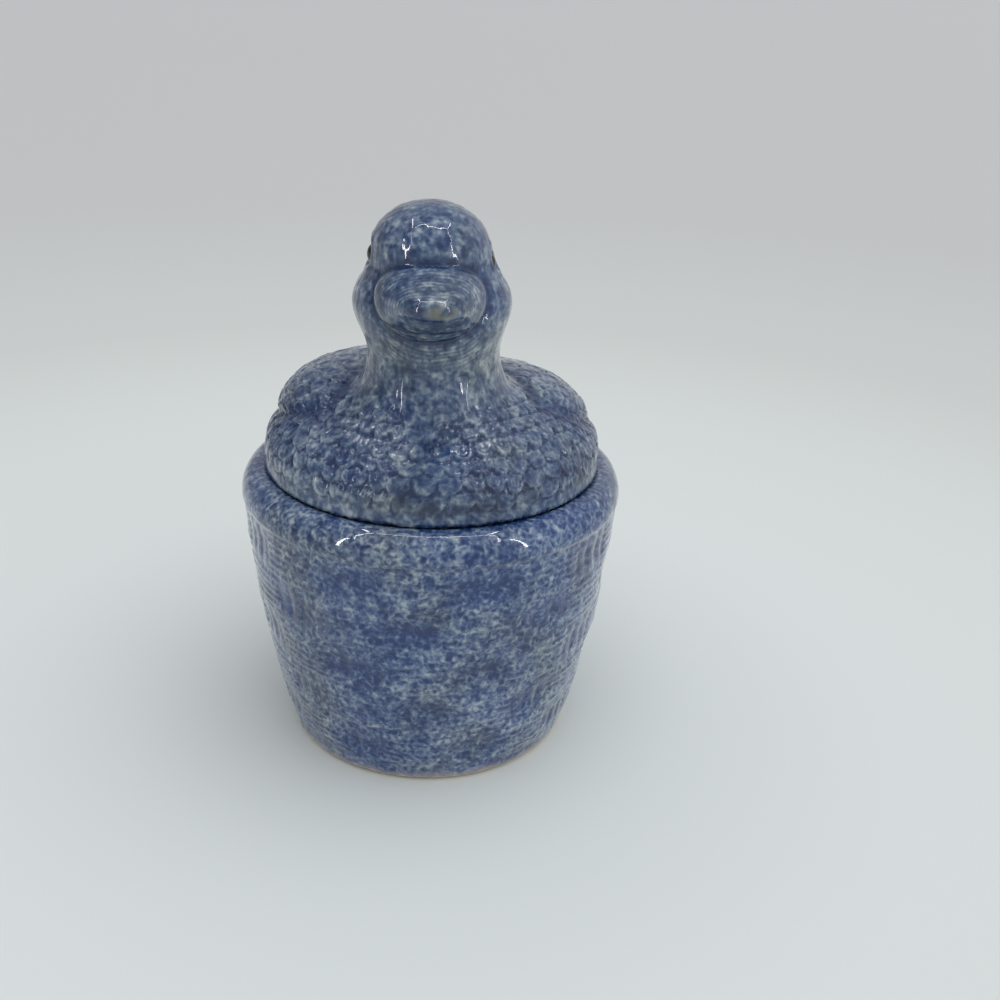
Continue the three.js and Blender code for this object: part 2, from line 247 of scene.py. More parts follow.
def make_bowl(material):
    bm = bmesh.new()
    rings = [bm.verts.new((radius, 0, height)) for radius, height in bowl_profile()]
    edges = [bm.edges.new(pair) for pair in zip(rings, rings[1:])]
    bmesh.ops.spin(bm, geom=rings + edges, cent=(0, 0, 0), axis=(0, 0, 1), angle=2 * math.pi,
                   steps=BOWL_COLUMNS, use_merge=True)
    bmesh.ops.remove_doubles(bm, verts=bm.verts, dist=1e-4)
    bmesh.ops.recalc_face_normals(bm, faces=bm.faces)
    bowl = piece_from(bm, "basket_bowl_glazed")
    points = points_of(bowl.data)
    radius = np.hypot(points[:, 0], points[:, 1])
    turn = np.arctan2(points[:, 0], -points[:, 1])
    height = points[:, 2]
    outside = radius > wall_radius(height) - 1.2
    on_weave = outside & (height > WEAVE_BOTTOM - 1.4) & (height < COLLAR_BOTTOM + 0.3)
    drift = wander(points, 9.0, 1.0)
    sag = wander(points, 13.0, 4.0)
    slack = wander(points, 3.6, 5.0)
    relief, over, pit = weave(turn + 0.02 * drift + 0.008 * slack, height + 0.55 * sag + 0.40 * slack)
    relief, over, pit = (value * on_weave for value in (relief, over, pit))
    above_foot = outside & (height > 1.0)
    swell = relief + above_foot * (0.16 * wander(points, 6.0, 7.0) + 0.22 * wander(points, 24.0, 9.0))
    grown = 1 + swell / np.maximum(radius, 1)
    points[:, :2] *= grown[:, None]
    lip = ease(BOWL_HEIGHT - 4, BOWL_HEIGHT, height)
    points[:, 2] -= lip * 0.05 * (1 + wander(points, 15.0, 12.0))
    put_points(bowl.data, points)
    put_value(bowl.data, "relief", relief / 0.5)
    put_value(bowl.data, "sideways", over)
    put_value(bowl.data, "pooled_and_shade", pit)
    clay_line = height + 0.8 * wander(points, 3.0, 15.0)
    foot = 1 - ease(0.2, 5.2, clay_line) * ease(FOOT_RECESS_RADIUS, FOOT_RADIUS, radius)
    on_gallery = (radius < MOUTH_RADIUS - 0.3) & (radius > GALLERY_RADIUS - 0.2)
    seat = on_gallery * hump(height - GALLERY_HEIGHT, 0.5)
    put_value(bowl.data, "bare", np.maximum(foot, seat))
    return finished(bowl, material, "bowl", "basket_bowl")


def on_head(height, forward=0.0, aside=0.0):
    """A place on the head's own axis, or before and beside it: the head looks a little to its left."""
    turn = math.radians(HEAD_TURN)
    leaning = -math.tan(math.radians(HEAD_LEAN)) * (height - CHEEK_HEIGHT)
    x = leaning + forward * math.sin(turn) + aside * math.cos(turn)
    y = -NECK_FORWARD - forward * math.cos(turn) + aside * math.sin(turn)
    return (x, y, height)


class Egg:
    """Egg-shaped form: its middle, its radii across, to the front and up, its rear radius and its turn."""

    def __init__(self, at, radii, rear=None, pitch=0.0, yaw=0.0, squareness=2.0):
        self.at, self.radii, self.squareness = Vector(at), radii, squareness
        self.rear = rear or radii[1]
        self.turn = Matrix.Rotation(math.radians(yaw), 3, "Z") @ Matrix.Rotation(math.radians(pitch), 3, "X")

    def local(self, points):
        return (points - np.array(self.at, float)) @ np.array(self.turn, float)

    def distance(self, points):
        """Negative inside, and true near the surface."""
        x, y, z = self.local(points).T
        across, front, up = self.radii
        long = np.where(y > 0, self.rear, front)
        power = self.squareness
        level = np.maximum(np.hypot(x / across, y / long), 1e-6)
        upward = np.maximum(np.abs(z / up), 1e-6)
        reach = (level ** power + upward ** power) ** (1 / power)
        outward = np.hypot(x / across ** 2, y / long ** 2) * level ** (power - 2)
        slope = np.hypot(outward, upward ** (power - 1) / up) * reach ** (1 - power)
        return (reach - 1) / np.maximum(slope, 1e-9)

    def add_to(self, bm, shrink=0.0):
        across, front, up = (radius - shrink for radius in self.radii)
        verts = bmesh.ops.create_uvsphere(bm, u_segments=64, v_segments=40, radius=1)["verts"]
        for vert in verts:
            x, y, z = vert.co
            vert.co = (x * across, y * (self.rear - shrink if y > 0 else front), z * up)
        bmesh.ops.transform(bm, verts=verts, matrix=Matrix.Translation(self.at) @ self.turn.to_4x4())


DOME = Egg((0, 0, BELLY_HEIGHT), (BELLY_RADIUS, BELLY_RADIUS, BACK_RISE))
NECK = Egg(on_head(NECK_HEIGHT), (14.0, 14.0, 27.7))
CHEEKS = Egg(on_head(CHEEK_HEIGHT), (16.7, 15.3, 10.4), yaw=HEAD_TURN)
CROWN = Egg(on_head(CROWN_HEIGHT), (CROWN_RADIUS, 13.2, 9.1), yaw=HEAD_TURN)
BILL_ROOT = Egg(on_head(CROWN_HEIGHT - 8.9, 9.0), (11.8, 10.2, 9.0), pitch=8.0, yaw=HEAD_TURN)
BILL_TIP = Egg(on_head(CROWN_HEIGHT - 7.6, 16.6, 0.7), (7.2, 8.2, 3.5), pitch=1.0, yaw=HEAD_TURN,
               squareness=2.4)
RIGHT_WING = Egg((-16.0, 9.0, BACK_HEIGHT - 11.4), (19.1, 26.0, 12.2), rear=31.0, pitch=-5.0, yaw=-13.0)
LEFT_WING = Egg((16.0, 9.0, BACK_HEIGHT - 13.6), (19.1, 26.0, 12.2), rear=31.0, pitch=-5.0, yaw=13.0)
TAIL = Egg((0, 28.0, BACK_HEIGHT - 4.4), (11.0, 14.0, 4.5), pitch=26.0)


def joined(first, second, fillet):
    near = np.maximum(fillet - np.abs(first - second), 0) / fillet
    return np.minimum(first, second) - near * near * fillet / 4


def cut_below(form, points, level, rounding):
    return -joined(-form, points[:, 2] - level, rounding)


def body_form(points):
    wall = np.hypot(points[:, 0], points[:, 1]) - BELLY_RADIUS
    return np.where(points[:, 2] > BELLY_HEIGHT, DOME.distance(points), wall)


def trunk_form(points):
    """Body, neck and head, which the hollow follows too."""
    head = joined(CHEEKS.distance(points), CROWN.distance(points), BROW_FILLET)
    return joined(body_form(points), joined(NECK.distance(points), head, THROAT_FILLET), NECK_FLARE)


def duck_forms(points):
    bill = joined(BILL_ROOT.distance(points), BILL_TIP.distance(points), SADDLE_FILLET)
    return {"trunk": trunk_form(points), "tail": TAIL.distance(points), "bill": bill,
            "left wing": LEFT_WING.distance(points), "right wing": RIGHT_WING.distance(points)}


def duck_form(points, forms=None):
    forms = forms or duck_forms(points)
    whole = joined(forms["trunk"], forms["tail"], TAIL_FILLET)
    for name, fillet in (("left wing", WING_FILLET), ("right wing", WING_FILLET), ("bill", BILL_FILLET)):
        whole = joined(whole, forms[name], fillet)
    return whole


def drum_form(points, radius, bottom, top, rounding):
    across = np.hypot(points[:, 0], points[:, 1]) - (radius - rounding)
    along = np.abs(points[:, 2] - (top + bottom) / 2) - ((top - bottom) / 2 - rounding)
    outside = np.hypot(np.maximum(across, 0), np.maximum(along, 0))
    return outside + np.minimum(np.maximum(across, along), 0) - rounding


def outer_form(points, forms=None):
    skirt = drum_form(points, SKIRT_RADIUS, SKIRT_BOTTOM, SKIRT_TOP + BORE_OVERLAP, SKIRT_ROUNDING)
    return joined(cut_below(duck_form(points, forms), points, SKIRT_TOP, BELLY_ROUNDING), skirt, 0.4)


def hollow_form(points, trunk=None):
    trunk = trunk_form(points) if trunk is None else trunk
    mouth = drum_form(points, SKIRT_RADIUS - LID_WALL, SKIRT_BOTTOM - 8, HOLLOW_BOTTOM + BORE_OVERLAP, 0.2)
    return joined(cut_below(trunk + LID_WALL, points, HOLLOW_BOTTOM, BELLY_ROUNDING), mouth, 1.5)


def lid_form(points):
    forms = duck_forms(points)
    return -joined(-outer_form(points, forms), hollow_form(points, forms["trunk"]), 0.9)


def slope_of(form, points, level):
    """How a form's distance grows along each axis, from its level at the points."""
    step = 0.02
    slopes = [(form(points + step * axis) - level) / step for axis in np.eye(3)]
    return np.stack(slopes, axis=1)


def settled(form, points, rounds):
    """Points moved onto the surface of a form."""
    for _ in range(rounds):
        level = form(points)
        slope = slope_of(form, points, level)
        size = np.maximum((slope ** 2).sum(axis=1), 0.05)
        points = points - np.clip(level / size, -1, 1)[:, None] * slope
    return points


def flat_below(bm, level):
    """Cuts everything in the mesh off flat at a level."""
    cut = bmesh.ops.bisect_plane(bm, geom=list(bm.verts) + list(bm.edges) + list(bm.faces), clear_inner=True,
                                 plane_co=(0, 0, level), plane_no=(0, 0, 1))["geom_cut"]
    bmesh.ops.holes_fill(bm, edges=[item for item in cut if isinstance(item, bmesh.types.BMEdge)])


def add_drum(bm, radius, bottom, top):
    place = Matrix.Translation((0, 0, (bottom + top) / 2))
    bmesh.ops.create_cone(bm, cap_ends=True, segments=96, radius1=radius, radius2=radius,
                          depth=top - bottom, matrix=place)


def relaxed(bm, form, rounds):
    """Evens a mesh out and brings it back onto its form each time."""
    for _ in range(rounds):
        bmesh.ops.smooth_vert(bm, verts=bm.verts, factor=0.5,
                              use_axis_x=True, use_axis_y=True, use_axis_z=True)
        points = settled(form, np.array([vert.co[:] for vert in bm.verts]), rounds=2)
        for vert, point in zip(bm.verts, points):
            vert.co = point
    return bm


def add_melt(piece):
    melt = piece.modifiers.new("melt", "REMESH")
    melt.mode = "VOXEL"
    melt.voxel_size = LID_VOXEL


def applied(piece):
    """The piece's mesh with its modifiers worked in."""
    bpy.context.view_layer.update()
    ready = piece.evaluated_get(bpy.context.evaluated_depsgraph_get())
    mesh = bpy.data.meshes.new_from_object(ready)
    piece.modifiers.clear()
    piece.data = mesh
    return mesh


def melted(piece, form):
    """Runs a rough piece's parts together and draws them onto its form."""
    add_melt(piece)
    bm = bmesh.new()
    bm.from_mesh(applied(piece))
    relaxed(bm, form, 4).to_mesh(piece.data)
    bm.free()
    return piece


def lid_blank():
    """Rough lid: the duck's forms run together over the skirt, with the hollow taken out."""
    bm = bmesh.new()
    for egg in (DOME, NECK, CHEEKS, CROWN, BILL_ROOT, BILL_TIP, RIGHT_WING, LEFT_WING, TAIL):
        egg.add_to(bm)
    flat_below(bm, SKIRT_TOP)
    add_drum(bm, BELLY_RADIUS, SKIRT_TOP, BELLY_HEIGHT)
    add_drum(bm, SKIRT_RADIUS, SKIRT_BOTTOM, SKIRT_TOP + 3)
    blank = melted(piece_from(bm, "duck_lid_glazed"), outer_form)
    bm = bmesh.new()
    for egg in (DOME, NECK, CHEEKS, CROWN):
        egg.add_to(bm, shrink=LID_WALL)
    flat_below(bm, HOLLOW_BOTTOM)
    add_drum(bm, SKIRT_RADIUS - LID_WALL, SKIRT_BOTTOM - 4, HOLLOW_BOTTOM + BORE_OVERLAP)
    core = melted(piece_from(bm, "lid_core"), hollow_form)
    hollow = blank.modifiers.new("hollow", "BOOLEAN")
    hollow.operation = "DIFFERENCE"
    hollow.solver = "EXACT"
    hollow.object = core
    add_melt(blank)
    applied(blank)
    bpy.data.objects.remove(core)
    return blank


def on_skin(points):
    """Points of the lid's outer, feathered skin."""
    return (np.abs(duck_form(points)) < 1.2) & (points[:, 2] > SKIRT_TOP + 0.5)


def refine_skin(bm):
    points = np.array([vert.co[:] for vert in bm.verts])
    skin = on_skin(points)
    bm.verts.ensure_lookup_table()
    bm.verts.index_update()
    edges = [edge for edge in bm.edges if skin[edge.verts[0].index] and skin[edge.verts[1].index]]
    bmesh.ops.subdivide_edges(bm, edges=edges, cuts=1, use_grid_fill=True)


def feather(across_cells, along_cells, row, width, length, lift):
    """One row of round-ended feathers: how far inside the edge a point is, its height, barb line and rim."""
    stagger = 0.5 * (row % 2)
    centre = np.floor(across_cells - stagger + 0.5) + stagger
    across = (across_cells - centre) * width
    past = (along_cells - row - 1) * length + width / 2
    reach = np.where(past > 0, np.hypot(past, across), np.abs(across))
    edge = width / 2 - reach
    grown = np.clip((along_cells - row + 0.6) / 1.6, 0, 1)
    rim = RIM_RISE * hump(edge - RIM_PLACE, RIM_WIDTH) - DIP_DEPTH * hump(edge - DIP_PLACE, RIM_WIDTH)
    seam = SEAM_DEPTH * hump(edge, SEAM_WIDTH) * (past < 0)
    shaft = SHAFT_RISE * hump(across, SHAFT_WIDTH) * (edge > SHAFT_PLACE)
    height = lift * (FEATHER_STEP * grown + rim - seam + shaft)
    return edge, height, past + 0.9 * np.abs(across), rim


def plumage(across_cells, along_cells, width, length, lift):
    """Overlapping rows of feathers: height, raised rim, the dark line under each edge, and barb line."""
    row = np.floor(along_cells)
    upper = feather(across_cells, along_cells, row, width, length, lift)
    lower = feather(across_cells, along_cells, row + 1, width, length, lift)
    share = ease(-0.15, 0.30, upper[0])
    under = hump(np.minimum(upper[0], 0) + 0.25, 0.32) * (upper[0] < 0.1)
    height = lower[1] * (1 - share) + upper[1] * share - FEATHER_UNDERCUT * lift * under
    barb = np.where(upper[0] > 0, upper[2], lower[2])
    rim = lower[3] * (1 - share) + upper[3] * share
    return height, rim, under, barb


def breast_feathers(points):
    columns, row, top = 46, 5.8, 41.0
    reach = np.hypot(points[:, 0], points[:, 1])
    above = points[:, 2] - SKIRT_TOP + 2
    uneven = 0.38 * wander(points, 8.0, 41.0)
    climb = np.degrees(np.arctan2(above, reach)) + row * uneven
    across = np.arctan2(points[:, 0], -points[:, 1]) * columns / (2 * np.pi) + uneven
    width = 2 * np.pi * reach / columns
    length = np.hypot(reach, above) * math.radians(row)
    lift = BREAST_LIFT - BREAST_CALM * hump(points[:, 0], 9.0) * (points[:, 1] < 0)
    return plumage(across, (top - climb) / row, width, length, lift)


def back_feathers(points):
    width, length, first = 4.9, 4.6, -3.0
    return plumage(points[:, 0] / width, (points[:, 1] - first) / length, width, length, BACK_LIFT)


def wing_feathers(points, wing, side):
    """Small coverts over the shoulder, then long flight feathers lying along the wing."""
    x, y, z = wing.local(points).T
    covert_end, covert, flight, columns = 27.0, 4.7, 12.0, 9.0
    long = np.where(y > 0, wing.rear, wing.radii[1])
    girth = 15.0 * np.sqrt(np.clip(1 - (y / long) ** 2, 0.10, 1))
    from_front = y + wing.radii[1]
    past = np.maximum(from_front - covert_end, 0)
    along = np.minimum(from_front, covert_end) / covert + past / flight
    length = np.where(past > 0, flight, covert)
    across = side * np.arctan2(z / wing.radii[2], side * x / wing.radii[0]) * columns / np.pi
    return plumage(across, along, np.pi * girth / columns, length, WING_LIFT)


def tail_feathers(points):
    width, length, sweep = 3.3, 11.0, 0.9
    local = TAIL.local(points)
    across = local[:, 0] / width
    along = (local[:, 1] + TAIL.radii[1] - sweep * np.abs(across) + 3.0) / length
    return plumage(across, along, width, length, TAIL_LIFT)


def shares_of(forms, height):
    """How far each form makes up the skin at each point, and how near its border with the others is."""
    gap = {name: np.min([forms[k] for k in forms if k != name], axis=0) - forms[name] for name in forms}
    wings = np.maximum(gap["left wing"], gap["right wing"])
    bill = ease(-0.2, 0.3, gap["bill"])
    share = {"wing": ease(-0.3, 0.6, wings), "tail": ease(-0.4, 0.8, gap["tail"]), "bill": bill,
             "crown": ease(CROWN_HEIGHT - 5, CROWN_HEIGHT, height) * (1 - bill)}
    border = {"wing": hump(wings, 0.8), "tail": hump(gap["tail"], 0.9), "bill": hump(gap["bill"] - 0.1, 0.62)}
    return share, border


def carve_plumage(points, share):
    x, y, z = points.T
    layers = [(breast_feathers(points), ease(SKIRT_TOP + 1.0, SKIRT_TOP + 3.5, z)),
              (back_feathers(points), ease(0.0, 5.0, y) * ease(SKIRT_TOP + 9.0, SKIRT_TOP + 13.0, z)),
              (wing_feathers(points, LEFT_WING, 1), share["wing"] * (x > 0)),
              (wing_feathers(points, RIGHT_WING, -1), share["wing"] * (x < 0)),
              (tail_feathers(points), share["tail"])]
    carved = [np.zeros(len(points)) for _ in range(4)]
    for layer, mask in layers:
        carved = [below * (1 - mask) + own * mask for below, own in zip(carved, layer)]
    height, rim, under, barb = carved
    smooth_neck = 1 - ease(BACK_HEIGHT - 2.9, BACK_HEIGHT + 1.1, z) * (1 - share["wing"])
    plumed = smooth_neck * (1 - share["bill"]) * ease(SKIRT_TOP + 1.0, SKIRT_TOP + 4.0, z)
    return height * plumed, rim * plumed, under * plumed, barb, plumed


def carve_bill(points, share):
    """The line of the mouth, the blunt end painted darker as shade, with its worn spot, and where fine arcs
    run round it.
    """
    tip, root = BILL_TIP.distance(points), BILL_ROOT.distance(points)
    front = ease(2.0, 6.0, -(points[:, 1] + NECK_FORWARD))
    face = BILL_TIP.local(points) - (0, -BILL_TIP.radii[1], -1.0)
    from_tip = np.linalg.norm(face * (0.47, 0.8, 1), axis=1)
    throat = hump(points[:, 2] - NECK_HEIGHT - 4.1, 5.5)
    arcs = front * np.maximum(share["bill"], throat) * (1 - ease(9.0, 14.0, tip))
    arcs *= ease(2.4, 3.8, from_tip)
    worn = 1 - ease(0.8, 2.2, np.linalg.norm((face - (2.4, 0, 1.1)) * (0.42, 0.5, 1), axis=1))
    # Painted shade: the blunt front face of the bill is painted darker, as it faces down and away from the
    # light.
    blunt = (1 - ease(1.5, 3.8, from_tip)) * ease(-2.4, -1.0, face[:, 2]) * share["bill"]
    mouth = hump(BILL_ROOT.local(points)[:, 2] + 3.6, 0.45) * ease(0.4, 1.0, tip - root) * share["bill"]
    return mouth, 0.8 * mouth + 0.6 * blunt, arcs, from_tip + 0.55 * wander(points, 5.0, 51.0), worn


def carve_brow(points):
    crown, cheeks = CROWN.distance(points), CHEEKS.distance(points)
    near = hump(np.minimum(crown, cheeks), 1.8) * ease(2.0, 6.0, -(points[:, 1] + NECK_FORWARD))
    return hump(crown - cheeks, 0.9) * near


def eye_centre(side):
    lower, out = EYE_MOVES[side]
    aside = CROWN_RADIUS + EYE_PROUD - EYE_RADIUS + out
    return on_head(CROWN_HEIGHT - EYE_DROP - lower, EYE_FORWARD, side * aside)


def eye_socket(points):
    gaps = [np.linalg.norm((points - eye_centre(side)) * (1, 1, 0.8), axis=1) for side in EYE_MOVES]
    gap = np.min(gaps, axis=0)
    return SOCKET_RIM * hump(gap - 3.4, 0.5) - SOCKET_DEPTH * (1 - ease(1.9, 3.1, gap))


def grey_and_painted_light_skin(points, share):
    """Where the glaze is painted greyer and paler: grey glaze at the throat, painted light on the bill's
    underside where its shade falls, and a painted sheen on the breast's lower edge.
    """
    x, y, z = points.T
    throat = hump(z - NECK_HEIGHT - 3.1, 5.5) * ease(0.0, 8.0, -(y + NECK_FORWARD)) * (1 - share["bill"])
    # Painted light: the bill's underside is painted paler where it lies in shade.
    under_bill = share["bill"] * (1 - ease(CROWN_HEIGHT - 13.4, CROWN_HEIGHT - 9.9, z))
    # Painted sheen: a pale grey haze on the breast's lower edge.
    low_breast_sheen = hump(z - SKIRT_TOP - 3.0, 4.0) * hump(x + 3, 22.0) * (y < 0)
    return throat + under_bill + 0.7 * low_breast_sheen


def carve_duck(points):
    """Marks that the glaze follows, and the height of the carved plumage and creases over the plain form."""
    height_above_foot = points[:, 2]
    share, border = shares_of(duck_forms(points), height_above_foot)
    height, rim, under, barb, plumed = carve_plumage(points, share)
    mouth, bill_dark, arcs, from_tip, worn = carve_bill(points, share)
    brow = carve_brow(points) * (1 - share["bill"])
    tail_border = border["tail"] * (height_above_foot > BACK_HEIGHT - 8)
    creases = (WING_CREASE * border["wing"] + TAIL_CREASE * tail_border + BILL_CREASE * border["bill"]
               + BROW_CREASE * brow + MOUTH_DEPTH * mouth)
    calm = 1 - 0.55 * ease(CHEEK_HEIGHT, CROWN_HEIGHT, height_above_foot)
    uneven = (0.14 * wander(points, 7.0, 21.0) + 0.16 * wander(points, 18.0, 23.0) - 0.12) * calm
    strokes = 0.10 * wander(points * (1, 1, 0.22), 1.3, 25.0) * (1 - plumed) * (1 - share["bill"])
    height = height - creases + eye_socket(points) + uneven + strokes
    grey_and_painted_light = grey_and_painted_light_skin(points, share)
    # Painted shade: the lower body and the crown are painted darker where the soft light from above falls full
    # on them; the grey marks take a little of it back.
    painted_shade = 0.5 * (1 - ease(BELLY_HEIGHT, BACK_HEIGHT + 4, height_above_foot)) + 0.5 * share["crown"]
    marks = {
        "relief": np.clip(height * 1.5, -1, 1) + 1.8 * rim,
        "sideways": np.clip(0.5 * plumed + share["bill"], 0, 1),
        # Glaze pooled in creases and under feather edges, with painted shade on the bill's blunt end
        "pooled_and_shade": np.clip(under + border["wing"] + border["bill"] + 0.7 * brow + bill_dark, 0, 1),
        "painted_shade": painted_shade - 0.35 * grey_and_painted_light,
        "barb": np.where(arcs > plumed, from_tip, barb),
        "plumed": plumed, "arcs": arcs, "worn": worn, "grey_and_painted_light": grey_and_painted_light}
    return marks, height


def make_lid(material):
    lid = lid_blank()
    mesh = lid.data
    bm = bmesh.new()
    bm.from_mesh(mesh)
    relaxed(bm, lid_form, 3)
    refine_skin(bm)
    relaxed(bm, lid_form, 2).to_mesh(mesh)
    bm.free()
    mesh.polygons.foreach_set("use_smooth", [True] * len(mesh.polygons))
    points = points_of(mesh)
    skin = on_skin(points)
    normals = slope_of(lid_form, points, lid_form(points))
    normals /= np.maximum(np.linalg.norm(normals, axis=1), 1e-6)[:, None]
    marks, height = carve_duck(points)
    keep = skin * ease(SKIRT_TOP + 1.2, SKIRT_TOP + 3.5, points[:, 2])
    moved = points + normals * (height * keep)[:, None]
    reach = np.hypot(points[:, 0], points[:, 1])
    hem = 1 - ease(SKIRT_TOP + 0.2, SKIRT_TOP + 2.5, points[:, 2])
    hem *= ease(SKIRT_RADIUS + 0.5, SKIRT_RADIUS + 1.2, reach)
    moved[:, 2] -= HEM_DROP * hem
    moved[:, :2] *= (1 + HEM_OUT * hem / np.maximum(reach, 1))[:, None]
    put_points(mesh, moved)
    for name, values in marks.items():
        put_value(mesh, name, values if name in ("sideways", "barb") else values * keep)
    clay_line = points[:, 2] + 0.4 * wander(points, 3.0, 31.0)
    put_value(mesh, "bare", 1 - ease(SKIRT_BOTTOM + 0.2, SKIRT_BOTTOM + 2.2, clay_line))
    return finished(lid, material, "lid", "duck_lid")


def make_eye(name, side, material):
    bm = bmesh.new()
    centre = Vector(eye_centre(side))
    place = Matrix.Translation(centre) @ Matrix.Rotation(math.pi / 2, 4, "Y")
    bead = bmesh.ops.create_uvsphere(bm, u_segments=48, v_segments=32, radius=EYE_RADIUS,
                                     matrix=place)["verts"]
    bmesh.ops.scale(bm, vec=(1, 1, EYE_LENGTH), space=Matrix.Translation(-centre), verts=bead)
    eye = piece_from(bm, name + "_bead")
    points = points_of(eye.data)
    from_middle = np.hypot(points[:, 1] - centre.y, points[:, 2] - centre.z)
    put_value(eye.data, "from_middle", from_middle / EYE_RADIUS)
    return finished(eye, material, "lid", name)


def paint(red, green, blue):
    """A colour given in screen values, as the shaders need it."""
    def linear(value):
        value /= 255
        return value / 12.92 if value <= 0.04045 else ((value + 0.055) / 1.055) ** 2.4
    return (linear(red), linear(green), linear(blue), 1)


class Finish:
    """A material's nodes, joined by short calls."""

    def __init__(self, name, **settings):
        self.material = bpy.data.materials.new(name)
        self.material.use_nodes = True
        self.tree = self.material.node_tree
        self.shader = self.tree.nodes["Principled BSDF"]
        for socket, value in settings.items():
            self.shader.inputs[socket.replace("_", " ")].default_value = value

    def node(self, kind, settings=(), **inputs):
        made = self.tree.nodes.new(kind)
        for key, value in dict(settings).items():
            setattr(made, key, value)
        for key, value in inputs.items():
            self.feed(made.inputs[key.replace("_", " ")], value)
        return made

    def feed(self, socket, value):
        if isinstance(value, bpy.types.NodeSocket):
            self.tree.links.new(value, socket)
        else:
            socket.default_value = value

    def place(self):
        return self.node("ShaderNodeTexCoord").outputs["Object"]

    def value(self, name):
        return self.node("ShaderNodeAttribute", {"attribute_name": name}).outputs["Fac"]

    def math(self, operation, first, second=0.0, third=0.0, clamp=False):
        made = self.node("ShaderNodeMath", {"operation": operation, "use_clamp": clamp})
        for socket, value in zip(made.inputs, (first, second, third)):
            self.feed(socket, value)
        return made.outputs[0]

    def stretched(self, vector, scale):
        return self.node("ShaderNodeMapping", Vector=vector, Scale=scale).outputs[0]

    def speckle(self, vector, scale, detail=2.0, roughness=0.5, distortion=0.0):
        made = self.node("ShaderNodeTexNoise", Vector=vector, Scale=scale, Detail=detail,
                         Roughness=roughness, Distortion=distortion)
        return made.outputs["Fac"]

    def ramp(self, factor, stops):
        made = self.node("ShaderNodeValToRGB", Fac=factor)
        elements = made.color_ramp.elements
        while len(elements) < len(stops):
            elements.new(0.5)
        for element, (position, colour) in zip(elements, stops):
            element.position = position
            element.color = colour
        return made.outputs["Color"]

    def between(self, factor, first, second):
        first_colour, second_colour, mixed_colour = 6, 7, 2
        made = self.node("ShaderNodeMix", {"data_type": "RGBA"})
        self.feed(made.inputs["Factor"], factor)
        self.feed(made.inputs[first_colour], first)
        self.feed(made.inputs[second_colour], second)
        return made.outputs[mixed_colour]

    def span(self, value, low, high, to_low=0.0, to_high=1.0):
        made = self.node("ShaderNodeMapRange", Value=value)
        for key, number in zip(("From Min", "From Max", "To Min", "To Max"), (low, high, to_low, to_high)):
            made.inputs[key].default_value = number
        return made.outputs[0]


# How strongly each layer of the sponging lightens the glaze, coarse to fine, and what the relief does to it
LID_SPONGING = {"base": 0.56, "curls": -0.90, "dabs": 1.30, "specks": 0.85, "streaks": 0.35, "patches": 0.65,
                "regions": 0.50, "relief": 0.08, "pooled_and_shade": -0.32}
BOWL_SPONGING = {"base": 0.59, "curls": -1.80, "dabs": 0.90, "specks": 1.15, "streaks": 0.45, "patches": 0.42,
                 "regions": 0.36, "relief": 0.13, "pooled_and_shade": -0.10}
# Painted shade: how much the lid's lower body and crown are darkened; then how much the bill's arcs lighten,
# and their spacing
PAINTED_SHADE_DARKENS, ARCS_LIGHTEN, BARB_SPACING = -0.15, 0.10, 0.75
SHADES_AT = (0.06, 0.26, 0.42, 0.56, 0.74, 0.97)


def pulled_along(glaze, place):
    """Places drawn aside by up to a millimetre, as the sponge drags the wet glaze."""
    drift = glaze.node("ShaderNodeTexNoise", Vector=place, Scale=300.0, Detail=1.0).outputs["Color"]
    pulled = glaze.node("ShaderNodeVectorMath", {"operation": "MULTIPLY_ADD"})
    glaze.feed(pulled.inputs[0], drift)
    pulled.inputs[1].default_value = (MM,) * 3
    glaze.feed(pulled.inputs[2], place)
    return pulled.outputs[0]


def sponged_tone(glaze, place, flow, sponging):
    """How light the sponged glaze is, with its dabs, which other marks break up with."""
    dabs = glaze.speckle(flow, 400.0, 1.5)
    upright = glaze.speckle(glaze.stretched(flow, (1.0, 1.0, 0.40)), 1000.0, 1.0)
    level = glaze.speckle(glaze.stretched(flow, (0.50, 0.50, 1.0)), 850.0, 1.0)
    turned = glaze.math("SUBTRACT", level, upright)
    streaks = glaze.math("MULTIPLY_ADD", turned, glaze.value("sideways"), upright)
    curls = glaze.math("ABSOLUTE", glaze.math("SUBTRACT", glaze.speckle(flow, 620.0, 1.0), 0.5))
    tone = glaze.math("MULTIPLY_ADD", curls, sponging["curls"], sponging["base"])
    layers = {"dabs": dabs, "specks": glaze.speckle(flow, 900.0, 1.0), "streaks": streaks,
              "patches": glaze.speckle(flow, 75.0, 2.0), "regions": glaze.speckle(place, 28.0, 1.0)}
    for layer, noise_value in layers.items():
        tone = glaze.math("MULTIPLY_ADD", glaze.math("SUBTRACT", noise_value, 0.5), sponging[layer], tone)
    # Pooled glaze darkens the tone, and on the lid painted shade at the bill's blunt end does too
    for mark in ("relief", "pooled_and_shade"):
        tone = glaze.math("MULTIPLY_ADD", glaze.value(mark), sponging[mark], tone)
    return tone, dabs


def with_clay(glaze, place, colour):
    """The glaze's colour, blushed and then bare of glaze towards the pale clay, and how bare it is."""
    unglazed = glaze.value("bare")
    blush = glaze.math("MULTIPLY", glaze.span(unglazed, 0.40, 0.80), 0.55)
    colour = glaze.between(blush, colour, paint(170, 155, 158))
    clay = glaze.ramp(glaze.speckle(place, 700.0, 3.0, 0.6),
                      [(0.35, paint(186, 168, 146)), (0.65, paint(212, 196, 174))])
    bare = glaze.span(unglazed, 0.86, 0.94)
    return glaze.between(bare, colour, clay), bare


